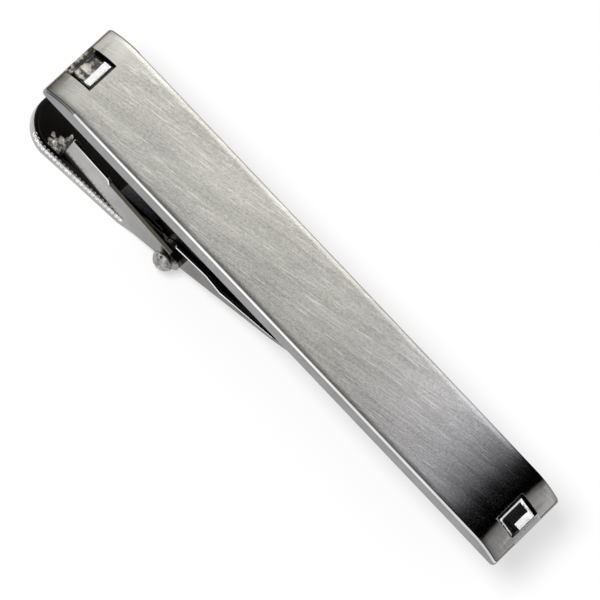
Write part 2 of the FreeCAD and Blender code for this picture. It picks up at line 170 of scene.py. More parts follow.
def makeSmudgeGroup():
    spec = handlingMarks
    inputs = [("Vector", "NodeSocketVector", None), ("Size", "NodeSocketFloat", spec["size"])]
    outputs = [("Cloud", "NodeSocketFloat"), ("Scuff", "NodeSocketFloat")]
    group, start, end = newGroup("handlingMarks", inputs, outputs)
    scale = doMath(group, "DIVIDE", 1.0, start.outputs["Size"])
    cloud = makeNode(group, "ShaderNodeTexNoise", None, {
        "Vector": start.outputs["Vector"],
        "Scale": scale,
        "Detail": spec["cloudDetail"],
        "Roughness": spec["cloudRoughness"],
    })
    group.links.new(cloud.outputs["Fac"], end.inputs["Cloud"])
    scuff = makeNode(group, "ShaderNodeTexNoise", None, {
        "Vector": start.outputs["Vector"],
        "Scale": doMath(group, "MULTIPLY", scale, spec["scuffFiner"]),
        "Detail": spec["scuffDetail"],
        "Roughness": spec["scuffRoughness"],
    })
    scuffed = mapRange(group, scuff.outputs["Fac"], spec["scuffFrom"], spec["scuffTo"], 0.0, 1.0)
    group.links.new(scuffed, end.inputs["Scuff"])
    return group


brushGroup = makeBrushGroup()
smudgeGroup = makeSmudgeGroup()


def newMaterial(name):
    material = bpy.data.materials.new(name)
    material.use_nodes = True
    tree = material.node_tree
    shader = next(node for node in tree.nodes if node.type == "BSDF_PRINCIPLED")
    place = makeNode(tree, "ShaderNodeTexCoord").outputs["Object"]
    return material, tree, shader, place


def useGroup(tree, group, inputs):
    return makeNode(tree, "ShaderNodeGroup", {"node_tree": group}, inputs)


# Brushed metal: the bar's front and back and the spring strip, one recipe with its own values. The back and
# the spring are painted dark as shade.
brushedFinishes = {
    "brushedSteel": {
        "lean": math.radians(-12.0),
        "length": 2.6 * mm,
        "width": 0.17 * mm,
        "dark": (0.244, 0.2375, 0.2155, 1.0),
        "light": (0.726, 0.708, 0.658, 1.0),
        "scratchShare": 0.5,
        "roughness": (0.1, 0.16),
        "waviness": 0.003,
        "anisotropy": 0.95,
        "uvMap": "acrossBar",
    },
    # Painted shade: the bar's back is painted dark, for the shade under the bar
    "backShadeSteel": {
        "lean": 0.0,
        "length": 4.0 * mm,
        "width": 0.14 * mm,
        "dark": (0.07, 0.07, 0.07, 1.0),
        "light": (0.24, 0.24, 0.235, 1.0),
        "scratchShare": 0.2,
        "roughness": (0.24, 0.4),
        "waviness": 0.004,
    },
    # Painted shade: the spring is painted near black, for the shade under the bar
    "springShadeSteel": {
        "lean": 0.0,
        "length": 2.0 * mm,
        "width": 0.08 * mm,
        "dark": (0.035, 0.035, 0.037, 1.0),
        "light": (0.11, 0.11, 0.115, 1.0),
        "scratchShare": 0.2,
        "roughness": (0.18, 0.34),
        "waviness": 0.004,
    },
}
brushShares = {"Grain": 0.52, "Streak": 0.24, "Cloud": 0.24}
brushLevel = {"centre": 0.5, "low": 0.1, "high": 0.9}

# Brushed metal is plainer where it rolls down at the bar's ends, tarnished at the left end and cooler
# towards the right. All lengths are along X, apart from stainFar and stainNear, which are along Y.
barEnds = {
    "plainFrom": 23.6 * mm,
    "plainTo": 24.8 * mm,
    "plainShare": 0.35,
    "stainFrom": -26.2 * mm,
    "stainTo": -27.4 * mm,
    "stainFar": 1.5 * mm,
    "stainNear": -1.5 * mm,
    "stainFarShare": 0.25,
    "stainCloud": (0.2, 0.6),
    "stainLeast": 0.35,
    "stain": (0.12, 0.1, 0.08, 1.0),
    "coolFrom": 3.0 * mm,
    "coolTo": 21.5 * mm,
    "cool": (0.93, 0.94, 1.08, 1.0),
    "coolLeft": 0.4,
}


def makeBrushed(name):
    spec = brushedFinishes[name]
    ends = barEnds
    material, tree, shader, place = newMaterial(name)
    marks = useGroup(tree, brushGroup, {
        "Vector": place,
        "Lean": spec["lean"],
        "Length": spec["length"],
        "Width": spec["width"],
    })
    level = doMath(tree, "MULTIPLY", marks.outputs["Scratch"], spec["scratchShare"])
    for layer, share in brushShares.items():
        level = doMath(tree, "ADD", level, doMath(tree, "MULTIPLY", marks.outputs[layer], share))
    split = makeNode(tree, "ShaderNodeSeparateXYZ", None, {0: place})
    x = split.outputs["X"]
    fromMiddle = doMath(tree, "ABSOLUTE", x)
    contrast = mapRange(tree, fromMiddle, ends["plainFrom"], ends["plainTo"], 1.0, ends["plainShare"])
    faded = doMath(tree, "MULTIPLY", doMath(tree, "SUBTRACT", level, brushLevel["centre"]), contrast)
    level = doMath(tree, "ADD", faded, brushLevel["centre"])
    reach = mapRange(tree, x, ends["stainFrom"], ends["stainTo"], 0.0, 1.0)
    y = split.outputs["Y"]
    nearness = mapRange(tree, y, ends["stainFar"], ends["stainNear"], ends["stainFarShare"], 1.0)
    low, high = ends["stainCloud"]
    clouded = mapRange(tree, marks.outputs["Cloud"], low, high, ends["stainLeast"], 1.0)
    stained = doMath(tree, "MULTIPLY", reach, doMath(tree, "MULTIPLY", nearness, clouded))
    plain = mixColours(tree, level, spec["dark"], spec["light"])
    cooling = mapRange(tree, x, ends["coolFrom"], ends["coolTo"], 0.0, 1.0)
    warming = mapRange(tree, x, ends["plainFrom"], ends["plainTo"], 1.0, ends["coolLeft"])
    cooling = doMath(tree, "MULTIPLY", cooling, warming)
    colour = mixColours(tree, cooling, plain, ends["cool"], "MULTIPLY")
    tilt = mapRange(tree, marks.outputs["Streak"], 0.0, 1.0, -spec["waviness"], spec["waviness"])
    lean = makeNode(tree, "ShaderNodeCombineXYZ", None, {"X": tilt}).outputs[0]
    normal = makeNode(tree, "ShaderNodeNewGeometry").outputs["Normal"]
    leaning = makeNode(tree, "ShaderNodeVectorMath", {"operation": "ADD"}, {0: normal, 1: lean}).outputs[0]
    wavy = makeNode(tree, "ShaderNodeVectorMath", {"operation": "NORMALIZE"}, {0: leaning}).outputs[0]
    smoothest, roughest = spec["roughness"]
    feed(tree, shader, {
        "Base Color": mixColours(tree, stained, colour, ends["stain"]),
        "Metallic": 1.0,
        "Roughness": mapRange(tree, level, brushLevel["low"], brushLevel["high"], smoothest, roughest),
        "Normal": wavy,
    })
    if "anisotropy" in spec:
        tangent = makeNode(tree, "ShaderNodeTangent", {"direction_type": "UV_MAP", "uv_map": spec["uvMap"]})
        feed(tree, shader, {"Anisotropic": spec["anisotropy"], "Tangent": tangent.outputs[0]})
    return material


# Polished and painted finishes: one recipe for the bar's sides, the plated clip and the stones' backing.
# Among them are painted shade (the near-black and darker finishes), painted highlights (the pale and
# near-white finishes) and a plating painted darker towards the hinge.
polishedFinishes = {
    "polishedSteel": {
        "clean": (0.33, 0.33, 0.335, 1.0),
        "dull": (0.26, 0.26, 0.265, 1.0),
        "roughness": (0.08, 0.16),
    },
    # Painted highlight: the bar's rounded edges are polished steel painted far brighter than the sides, for a
    # white line along them
    "edgeHighlightSteel": {
        "clean": (0.84, 0.84, 0.84, 1.0),
        "dull": (0.74, 0.74, 0.74, 1.0),
        "roughness": (0.05, 0.1),
    },
    # Painted shade: the stone seats are painted near black, for the dark gap round each stone
    "seatShadeSteel": {
        "clean": (0.05, 0.048, 0.046, 1.0),
        "dull": (0.02, 0.019, 0.018, 1.0),
        "roughness": (0.18, 0.3),
    },
    # Painted highlight: the end slots and the right seat's end and near walls are painted pale, for a light
    # strip
    "slotHighlightSteel": {
        "clean": (0.95, 0.95, 0.95, 1.0),
        "dull": (0.88, 0.88, 0.88, 1.0),
        "roughness": (0.5, 0.6),
    },
    "clipPlating": {
        "clean": (0.45, 0.445, 0.44, 1.0),
        "dull": (0.34, 0.335, 0.33, 1.0),
        "roughness": (0.08, 0.18),
        # Painted shade: darker from x = -17.5 mm towards the hinge, down to 0.68 of the colour
        "shadeFade": (-17.5 * mm, -11.5 * mm, 0.68),
    },
    # Painted shade: the jaw is the clip's plating painted darker, for the shade near the hinge
    "jawShadedPlating": {
        "clean": (0.25, 0.245, 0.24, 1.0),
        "dull": (0.18, 0.175, 0.17, 1.0),
        "roughness": (0.08, 0.18),
    },
    # Painted shade: inward faces, the pad's floor and its tip are painted near black, for the shade inside
    # the clip
    "clipInsideShade": {
        "clean": (0.045, 0.042, 0.04, 1.0),
        "dull": (0.02, 0.019, 0.018, 1.0),
        "roughness": (0.12, 0.26),
    },
    # Painted shade: the bracket under the bar is painted near black
    "bracketShadeSteel": {
        "clean": (0.04, 0.038, 0.036, 1.0),
        "dull": (0.02, 0.019, 0.018, 1.0),
        "roughness": (0.2, 0.34),
    },
    # Painted reflection and shade: a dull brown on the wall tops under the bar and the bracket's lower wall,
    # standing in for the bar's dark reflection
    "brownShadeBand": {
        "clean": (0.13, 0.12, 0.095, 1.0),
        "dull": (0.065, 0.058, 0.045, 1.0),
        "roughness": (0.35, 0.5),
        "metal": 0.0,
    },
    # Painted shade: the ears by the hinge are painted near black
    "earShade": {
        "clean": (0.06, 0.055, 0.047, 1.0),
        "dull": (0.025, 0.022, 0.018, 1.0),
        "roughness": (0.25, 0.4),
    },
    # Painted highlight: the clip's bevelled edges are its plating painted near white
    "edgeHighlightPlating": {
        "clean": (0.9, 0.9, 0.89, 1.0),
        "dull": (0.78, 0.78, 0.77, 1.0),
        "roughness": (0.06, 0.14),
    },
    "rivetMetal": {
        "clean": (0.5, 0.485, 0.465, 1.0),
        "dull": (0.09, 0.083, 0.075, 1.0),
        "roughness": (0.1, 0.28),
        "markSize": 0.45 * mm,
    },
    # Painted highlight: the rim beads are the clip's plating painted near white, standing in for glints
    "beadHighlightPlating": {
        "clean": (0.95, 0.94, 0.93, 1.0),
        "dull": (0.6, 0.58, 0.56, 1.0),
        "roughness": (0.08, 0.2),
        "markSize": 0.6 * mm,
    },
    # Solder with a painted sheen: its clean colour is painted near white for glints, its dull colour is the
    # solder's own mottle
    "solderAndSheen": {
        "clean": (0.97, 0.92, 0.84, 1.0),
        "dull": (0.22, 0.195, 0.17, 1.0),
        "roughness": (0.3, 0.5),
        "markSize": 0.35 * mm,
    },
    # Painted highlight: white facets under the stones, for their bright flash
    "stoneHighlightFoil": {
        "clean": (0.95, 0.95, 0.95, 1.0),
        "dull": (0.86, 0.86, 0.85, 1.0),
        "roughness": (0.5, 0.6),
        "metal": 0.0,
    },
    "stoneShade": {
        "clean": (0.004, 0.004, 0.004, 1.0),
        "dull": (0.002, 0.002, 0.002, 1.0),
        "roughness": (0.3, 0.4),
    },
    "stoneTarnish": {
        "clean": (0.6, 0.56, 0.5, 1.0),
        "dull": (0.025, 0.021, 0.017, 1.0),
        "roughness": (0.3, 0.5),
        "markSize": 0.8 * mm,
        "cloud": (0.4, 0.52),
        "metal": 0.0,
    },
}


def makePolished(name):
    spec = polishedFinishes[name]
    material, tree, shader, place = newMaterial(name)
    size = spec.get("markSize", handlingMarks["size"])
    marks = useGroup(tree, smudgeGroup, {"Vector": place, "Size": size})
    low, high = spec.get("cloud", handlingMarks["cloudRange"])
    cloud = mapRange(tree, marks.outputs["Cloud"], low, high, 0.0, 1.0)
    scuff = doMath(tree, "MULTIPLY", marks.outputs["Scuff"], handlingMarks["scuffShare"])
    worn = doMath(tree, "MAXIMUM", cloud, scuff)
    colour = mixColours(tree, worn, spec["clean"], spec["dull"])
    # Painted shade: the colour darkens along x where the finish asks for it
    if "shadeFade" in spec:
        start, end, share = spec["shadeFade"]
        x = makeNode(tree, "ShaderNodeSeparateXYZ", None, {0: place}).outputs["X"]
        colour = mixColours(tree, 1.0, colour, mapRange(tree, x, start, end, 1.0, share), "MULTIPLY")
    smoothest, roughest = spec["roughness"]
    feed(tree, shader, {
        "Base Color": colour,
        "Metallic": spec.get("metal", 1.0),
        "Roughness": mapRange(tree, worn, 0.0, 1.0, smoothest, roughest),
    })
    return material


# Stones: clear, with faint cloudiness
clearStone = {
    "markSize": 1.2 * mm,
    "clear": (1.0, 1.0, 1.0, 1.0),
    "cloudy": (0.96, 0.97, 0.98, 1.0),
    "scuffRoughness": 0.05,
    "bending": 1.3,
}


def makeStoneGlass():
    spec = clearStone
    material, tree, shader, place = newMaterial("clearStone")
    marks = useGroup(tree, smudgeGroup, {"Vector": place, "Size": spec["markSize"]})
    feed(tree, shader, {
        "Base Color": mixColours(tree, marks.outputs["Cloud"], spec["clear"], spec["cloudy"]),
        "Roughness": mapRange(tree, marks.outputs["Scuff"], 0.0, 1.0, 0.0, spec["scuffRoughness"]),
        "Metallic": 0.0,
        "IOR": spec["bending"],
        "Transmission Weight": 1.0,
    })
    return material


finishes = {name: makeBrushed(name) for name in brushedFinishes}
finishes.update({name: makePolished(name) for name in polishedFinishes})
finishes["clearStone"] = makeStoneGlass()
print("materials made:", len(finishes))


# A clean copy of a CAD node: merged, its flat faces joined, its longer sharp edges eased
def easedCopy(nodeName, pieceName, easing):
    bm = bmesh.new()
    bm.from_mesh(cadNodes[nodeName].data)
    bmesh.ops.remove_doubles(bm, verts=bm.verts, dist=easing["merge"])
    bmesh.ops.dissolve_limit(bm, angle_limit=easing["flat"], verts=bm.verts, edges=bm.edges)
    edges = [edge for edge in bm.edges if isEased(edge, easing)]
    if easing["width"] > 0:
        bmesh.ops.bevel(
            bm,
            geom=edges,
            offset=easing["width"],
            offset_type="OFFSET",
            segments=easing["segments"],
            profile=easing["profile"],
            affect="EDGES",
            clamp_overlap=False,
        )
        bmesh.ops.remove_doubles(bm, verts=bm.verts, dist=easing["merge"])
    mesh = bpy.data.meshes.new(pieceName)
    bm.to_mesh(mesh)
    bm.free()
    for name in ("custom_normal", "sharp_edge", "sharp_face"):
        if name in mesh.attributes:
            mesh.attributes.remove(mesh.attributes[name])
    mesh.materials.clear()
    piece = bpy.data.objects.new(pieceName, mesh)
    scene.collection.objects.link(piece)
    return piece


# An edge is eased where it is sharp, stands out, and has room at both ends
def isEased(edge, easing):
    if len(edge.link_faces) != 2 or not edge.is_convex or edge.calc_length() < easing["shortest"]:
        return False
    if edge.calc_face_angle() < easing["sharp"]:
        return False
    beside = [other for end in edge.verts for other in end.link_edges if other is not edge]
    return min(other.calc_length() for other in beside) > easing["room"]


def bakeModifiers(piece):
    depsgraph = bpy.context.evaluated_depsgraph_get()
    result = bpy.data.meshes.new_from_object(piece.evaluated_get(depsgraph))
    result.name = piece.name
    piece.modifiers.clear()
    piece.data = result


def shadeSmooth(piece, sharpAngle):
    mesh = piece.data
    for polygon in mesh.polygons:
        polygon.use_smooth = True
    mesh.set_sharp_from_angle(angle=sharpAngle)
    weighted = piece.modifiers.new("flatFaces", "WEIGHTED_NORMAL")
    weighted.keep_sharp = True
    bakeModifiers(piece)


def placePiece(piece, node, body):
    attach(piece, body)
    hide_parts(node)


# Finishes by name: choose gives the name of a face's finish
def paintFaces(piece, names, choose):
    names = list(dict.fromkeys(names))
    for name in names:
        piece.data.materials.append(finishes[name])
    for polygon in piece.data.polygons:
        polygon.material_index = names.index(choose(polygon))


def cutAcross(piece, planes):
    bm = bmesh.new()
    bm.from_mesh(piece.data)
    for point, normal in planes:
        parts = bm.verts[:] + bm.edges[:] + bm.faces[:]
        bmesh.ops.bisect_plane(bm, geom=parts, dist=stampedEdges["merge"], plane_co=point, plane_no=normal)
    bm.to_mesh(piece.data)
    bm.free()


# Easing that the pieces share, each with its own width
stampedEdges = {
    "merge": 0.001 * mm,
    "flat": math.radians(0.4),
    "width": 0.1 * mm,
    "segments": 3,
    "profile": 0.5,
    "smooth": math.radians(38.0),
    "sharp": math.radians(32.0),
    "shortest": 0.25 * mm,
    "room": 0.12 * mm,
}

# Bar: brushed front, rounded edges with a painted highlight, polished sides and ends, a back and stone seats
# painted dark as shade, and slot floors painted pale as a highlight
barFinish = {
    "easing": 0.05 * mm,
    "seatCentre": 26.0 * mm,
    "seatHalfLength": 1.25 * mm,
    "seatHalfWidth": 1.78 * mm,
    "seatTop": 0.035 * mm,
    "wellFloor": 0.05 * mm,
    "slotStart": 27.15 * mm,
    "gapEnd": 26.93 * mm,
    "gapNear": -1.47 * mm,
    "frontTurn": 0.8,
    "edgeTurn": 0.24,
    "sideTurn": 0.55,
    "brightFrom": -23.8 * mm,
    "backTurn": -0.9,
    "finishes": [
        "brushedSteel", "polishedSteel", "seatShadeSteel", "backShadeSteel", "slotHighlightSteel", "edgeHighlightSteel", "stoneTarnish",
    ],
}

# Soft shoulders: the front dips a little before its rounded long edges
shoulder = {"fromEdge": 0.8 * mm, "width": 0.42 * mm, "rings": 5, "dip": 0.03 * mm, "lowest": 0.1 * mm}


def dipShoulders(piece):
    spec = shoulder
    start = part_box("bar")[1].y - spec["fromEdge"]
    planes = []
    for side in (-1, 1):
        for ring in range(spec["rings"]):
            place = side * (start + spec["width"] * ring / spec["rings"])
            planes.append(((0.0, place, 0.0), (0.0, 1.0, 0.0)))
    cutAcross(piece, planes)
    for vertex in piece.data.vertices:
        over = min(abs(vertex.co.y) - start, spec["width"])
        if over > 0 and vertex.co.z > spec["lowest"]:
            vertex.co.z -= spec["dip"] * (over / spec["width"]) ** 2


def makeBarPiece():
    spec = barFinish
    piece = easedCopy("bar", "barShell", dict(stampedEdges, width=spec["easing"]))
    dipShoulders(piece)
    ends = [((side * spec["gapEnd"], 0.0, 0.0), (1.0, 0.0, 0.0)) for side in (-1, 1)]
    cutAcross(piece, ends + [((0.0, spec["gapNear"], 0.0), (0.0, 1.0, 0.0))])
    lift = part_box("bar")[1].z - spec["seatTop"]

    def choose(face):
        centre, turn = face.center, face.normal
        inLength = abs(abs(centre.x) - spec["seatCentre"]) < spec["seatHalfLength"]
        inWidth = abs(centre.y) < spec["seatHalfWidth"]
        # Painted light in the seats: near-black painted shade, with a painted highlight on the right seat's
        # end and near side
        if inLength and inWidth and spec["wellFloor"] < centre.z < lift:
            if centre.x > spec["gapEnd"] or centre.x > 0 and centre.y < spec["gapNear"]:
                return "slotHighlightSteel"
            return "stoneTarnish" if centre.x < -spec["gapEnd"] else "seatShadeSteel"
        # Painted highlight: the right slot floor is painted pale
        if inWidth and abs(centre.x) > spec["slotStart"] and turn.z > spec["frontTurn"]:
            return "slotHighlightSteel" if centre.x > 0 else "stoneTarnish"
        if turn.z > spec["frontTurn"] and abs(turn.y) < spec["edgeTurn"]:
            return "brushedSteel"
        # Painted highlight: rounded edge faces right of brightFrom are painted bright
        if turn.z > spec["sideTurn"] and centre.x > spec["brightFrom"] and abs(turn.y) > spec["edgeTurn"]:
            return "edgeHighlightSteel"
        # Painted shade: faces looking down get the dark back finish
        return "backShadeSteel" if turn.z < spec["backTurn"] else "polishedSteel"

    paintFaces(piece, spec["finishes"], choose)
    layer = piece.data.uv_layers.new(name="acrossBar")
    turnBack = Matrix.Rotation(brushedFinishes["brushedSteel"]["lean"], 2)
    for loop in piece.data.loops:
        along, across = turnBack @ piece.data.vertices[loop.vertex_index].co.xy
        layer.data[loop.index].uv = (across / mm, along / mm)
    shadeSmooth(piece, stampedEdges["smooth"])
    placePiece(piece, "bar", "bar")


makeBarPiece()

# Stones stay as cut. Their lower facets are painted: a white painted highlight where the flash is and in the
# right one's ring, near-black painted shade on the rest of the right one and on the left one's ring, and
# tarnish on the rest of the left one.
stoneFacets = {
    "stone_left": {
        "piece": "stoneLeft",
        "tilt": math.radians(-14.5),
        "backing": "stoneTarnish",
        "ring": "stoneShade",
        "flashFrom": 0.22 * mm,
        "flashNear": -1.2 * mm,
        "ringFrom": 1.0 * mm,
    },
    "stone_right": {
        "piece": "stoneRight",
        "tilt": math.radians(14.5),
        "backing": "stoneShade",
        "ring": "stoneHighlightFoil",
        "flashFrom": 0.3 * mm,
        "flashNear": -0.5 * mm,
        "ringFrom": 0.0,
    },
}
stoneBacking = {"ringShare": 0.3, "lowerTurn": -0.2, "endTurn": 0.3}


def makeStone(node):
    spec = stoneFacets[node]
    piece = easedCopy(node, spec["piece"], dict(stampedEdges, width=0.0))
    out = Vector((math.sin(spec["tilt"]), 0.0, math.cos(spec["tilt"])))
    along = Vector((math.cos(spec["tilt"]), 0.0, -math.sin(spec["tilt"])))
    low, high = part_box(node)
    flash = ((low + high) / 2).dot(along) + spec["flashFrom"]
    cutAcross(piece, [(along * flash, along), ((0.0, spec["flashNear"], 0.0), (0.0, 1.0, 0.0))])
    heights = [vertex.co.dot(out) for vertex in piece.data.vertices]
    ringHeight = min(heights) + (max(heights) - min(heights)) * stoneBacking["ringShare"]

    def choose(facet):
        middle = facet.center
        if facet.normal.dot(out) > stoneBacking["lowerTurn"]:
            return "clearStone"
        # Painted highlight where the flash is; painted shade or tarnish on the other lower facets
        if middle.dot(along) > flash and middle.y > spec["flashNear"]:
            return "stoneHighlightFoil"
        if facet.normal.dot(along) > stoneBacking["endTurn"]:
            return spec["backing"]
        inRing = middle.dot(out) > ringHeight and abs(middle.y) > spec["ringFrom"]
        return spec["ring"] if inRing else spec["backing"]

    paintFaces(piece, ["clearStone", "stoneHighlightFoil", spec["ring"], spec["backing"]], choose)
    for facet in piece.data.polygons:
        facet.use_smooth = False
    placePiece(piece, node, "bar")


for stoneName in stoneFacets:
    makeStone(stoneName)
print("bar and stones made")


# Clip stampings: plated outside, the bracket and jaw painted darker as shade, and painted shade on the faces
# within inside of the middle that look inwards. A patch has its own finish where a face's middle lies in its
# x and z ranges, in mm, and the z of its normal in its up range. The first patch that fits is taken. Patches
# carry painted shade, a brown painted shade and reflection, and painted highlights.
clipPieces = {
    "base_bracket": {
        "piece": "baseBracket",
        "body": "bar",
        "inside": 2.15 * mm,
        "outside": "bracketShadeSteel",
        "patches": [{"finish": "brownShadeBand", "x": (-18.6, -5.9), "z": (-6.7, -4.75), "up": (-0.3, 0.3)}],
        "cuts": {"z": [-4.75]},
    },
    "jaw": {
        "piece": "jawStamping",
        "body": "lever",
        "inside": 3.2 * mm,
        "outside": "jawShadedPlating",
        "patches": [
            {"finish": "edgeHighlightPlating", "x": (-11.7, 3.0), "z": (-6.6, 0.0), "up": (0.3, 0.93)},
            {"finish": "earShade", "x": (-11.7, -8.85), "z": (-5.2, -3.0), "up": (-0.3, 0.3)},
        ],
        "cuts": {"x": [-8.85], "z": [-5.2]},
    },
    "thumb_lever": {
        "piece": "thumbLeverShell",
        "body": "lever",
        "inside": 3.85 * mm,
        "outside": "clipPlating",
        "patches": [
            {"finish": "clipInsideShade", "x": (-28.0, -15.0), "z": (-7.5, -6.2), "up": (0.3, 1.0)},
            {"finish": "clipInsideShade", "x": (-28.0, -26.95), "z": (-7.5, -6.2), "up": (0.15, 1.0)},
            {"finish": "earShade", "x": (-12.7, -8.8), "z": (-4.86, -3.4), "up": (-1.0, 1.0)},
            {"finish": "edgeHighlightPlating", "x": (-23.0, -17.5), "z": (-6.1, -3.4), "up": (0.3, 0.93)},
            {"finish": "brownShadeBand", "x": (-18.5, -8.8), "z": (-4.9, -3.4), "up": (0.93, 1.0)},
        ],
        "cuts": {"z": [-4.86]},
    },
    "hinge_pin": {
        "piece": "hingePinRivet",
        "body": "lever",
        "inside": 0.0,
        "outside": "rivetMetal",
        "patches": [],
        "cuts": {},
    },
}
inwardTurn = 0.2
stampingEdges = dict(stampedEdges, width=0.14 * mm, room=0.18 * mm)


def isInPatch(patch, centre, turn):
    inX = patch["x"][0] <= centre.x / mm <= patch["x"][1]
    inZ = patch["z"][0] <= centre.z / mm <= patch["z"][1]
    return inX and inZ and patch["up"][0] <= turn.z <= patch["up"][1]


def makeStamping(node):
    spec = clipPieces[node]
    piece = easedCopy(node, spec["piece"], stampingEdges)
    for axis, places in spec["cuts"].items():
        normal = Vector((axis == "x", 0.0, axis == "z"))
        cutAcross(piece, [(normal * place * mm, normal) for place in places])

    def choose(face):
        centre, turn = face.center, face.normal
        # Painted shade on faces that look inwards
        if abs(centre.y) < spec["inside"] and turn.y * math.copysign(1.0, centre.y) < -inwardTurn:
            return "clipInsideShade"
        for patch in spec["patches"]:
            if isInPatch(patch, centre, turn):
                return patch["finish"]
        return spec["outside"]

    names = [spec["outside"], "clipInsideShade"] + [patch["finish"] for patch in spec["patches"]]
    paintFaces(piece, names, choose)
    shadeSmooth(piece, stampedEdges["smooth"])
    placePiece(piece, node, spec["body"])


for clipNode in clipPieces:
    makeStamping(clipNode)
print("clip made")

# Spring: an eased copy of the strip, left where the CAD places it and attached to no body
springBend = {"halfSpan": 0.4 * mm, "easing": 0.03 * mm, "segments": 2}


def makeSpringPiece():
    easing = dict(stampedEdges, width=springBend["easing"], segments=springBend["segments"])
    piece = easedCopy("leaf_spring", "leafSpringStrip", easing)
    piece.data.materials.append(finishes["springShadeSteel"])
    shadeSmooth(piece, stampedEdges["smooth"])
    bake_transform(piece)
    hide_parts("leaf_spring")


makeSpringPiece()
print("spring made")

# Rim beads: a row of small bumps along the outer top edge of the pad's rim
rimBeads = {
    "spacing": 0.44 * mm,
    "radius": 0.26 * mm,
    "drop": 0.25 * mm,
    "proud": -0.04 * mm,
    "rimTop": -6.4 * mm,
    "cornerCentreX": -24.06 * mm,
    "cornerRadius": 3.1 * mm,
    "padHalfWidth": 4.3 * mm,
    "neckX": -15.3 * mm,
    "neckHalfWidth": 3.6 * mm,
    "cornerTurn": math.radians(26.0),
    "cornerSteps": 6,
    "subdivisions": 3,
}


def rimPath(spec, side):
    centreY = spec["padHalfWidth"] - spec["cornerRadius"]
    radius = spec["cornerRadius"] + spec["proud"]
    height = spec["rimTop"] - spec["drop"]
    points = []
    for step in range(spec["cornerSteps"], 0, -1):
        turn = spec["cornerTurn"] * step / spec["cornerSteps"]
        x = spec["cornerCentreX"] - radius * math.sin(turn)
        points.append(Vector((x, side * (centreY + radius * math.cos(turn)), height)))
    points.append(Vector((spec["cornerCentreX"], side * (spec["padHalfWidth"] + spec["proud"]), height)))
    points.append(Vector((spec["neckX"], side * (spec["neckHalfWidth"] + spec["proud"]), height)))
    return points


def makeBeadTree():
    tree = bpy.data.node_groups.new("rimBeadRow", "GeometryNodeTree")
    tree.interface.new_socket("Geometry", in_out="INPUT", socket_type="NodeSocketGeometry")
    for label, kind in (("Spacing", "Float"), ("Radius", "Float"), ("Finish", "Material")):
        tree.interface.new_socket(label, in_out="INPUT", socket_type="NodeSocket" + kind)
    tree.interface.new_socket("Geometry", in_out="OUTPUT", socket_type="NodeSocketGeometry")
    start = tree.nodes.new("NodeGroupInput")
    end = tree.nodes.new("NodeGroupOutput")
    path = makeNode(tree, "GeometryNodeMeshToCurve", None, {"Mesh": start.outputs["Geometry"]})
    places = makeNode(tree, "GeometryNodeCurveToPoints", {"mode": "LENGTH"}, {
        "Curve": path.outputs[0],
        "Length": start.outputs["Spacing"],
    })
    bead = makeNode(tree, "GeometryNodeMeshIcoSphere", None, {
        "Radius": start.outputs["Radius"],
        "Subdivisions": rimBeads["subdivisions"],
    })
    smooth = makeNode(tree, "GeometryNodeSetShadeSmooth", None, {0: bead.outputs[0]})
    row = makeNode(tree, "GeometryNodeInstanceOnPoints", None, {
        "Points": places.outputs["Points"],
        "Instance": smooth.outputs[0],
    })
    solid = makeNode(tree, "GeometryNodeRealizeInstances", None, {0: row.outputs[0]})
    finished = makeNode(tree, "GeometryNodeSetMaterial", None, {
        "Geometry": solid.outputs[0],
        "Material": start.outputs["Finish"],
    })
    tree.links.new(finished.outputs[0], end.inputs[0])
    return tree


def makeRimBeads():
    spec = rimBeads
    bm = bmesh.new()
    for side in (-1, 1):
        row = [bm.verts.new(point) for point in rimPath(spec, side)]
        for first, second in zip(row, row[1:]):
            bm.edges.new((first, second))
    mesh = bpy.data.meshes.new("rimBeads")
    bm.to_mesh(mesh)
    bm.free()
    piece = bpy.data.objects.new("rimBeads", mesh)
    scene.collection.objects.link(piece)
    modifier = piece.modifiers.new("beadRow", "NODES")
    modifier.node_group = makeBeadTree()
    sockets = {item.name: item.identifier for item in modifier.node_group.interface.items_tree}
    modifier[sockets["Spacing"]] = spec["spacing"]
    modifier[sockets["Radius"]] = spec["radius"]
    modifier[sockets["Finish"]] = finishes["beadHighlightPlating"]
    bakeModifiers(piece)
    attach(piece, "lever")
    return piece


beadPiece = makeRimBeads()
print("rim beads made:", len(beadPiece.data.polygons), "faces")

# Solder: a ragged low spill on the pad's floor at the left end of each wall
solderSpill = {
    "floor": -7.15 * mm,
    "sink": 0.03 * mm,
    "cell": 0.08 * mm,
    "lump": 0.42 * mm,
    "ragged": 0.85,
    "reach": 1.4,
    "smooth": math.radians(60.0),
    "spots": [
        {"x": -23.6 * mm, "y": 2.75 * mm, "long": 1.0 * mm, "wide": 0.85 * mm, "high": 0.26 * mm},
        {"x": -23.1 * mm, "y": 1.9 * mm, "long": 0.45 * mm, "wide": 0.8 * mm, "high": 0.2 * mm},
    ],
}


def spillHeight(x, y, side):
    spec = solderSpill
    lumps = noise.noise(Vector((x, y * side, 0.0)) / spec["lump"]) * spec["ragged"]
    best = 0.0
    for spot in spec["spots"]:
        away = ((x - spot["x"]) / spot["long"]) ** 2 + ((y - spot["y"]) / spot["wide"]) ** 2
        best = max(best, spot["high"] * (1.0 - away + lumps))
    return best


# The walls come in any order, so all parts are put in the order of their places, the same each run
def settleOrder(bm):
    for parts in (bm.verts, bm.edges, bm.faces):
        places = {}
        for part in parts:
            points = [part] if isinstance(part, bmesh.types.BMVert) else part.verts
            places[part] = tuple(sum((point.co for point in points), Vector()))
        for rank, part in enumerate(sorted(parts, key=places.get)):
            part.index = rank
        parts.sort()


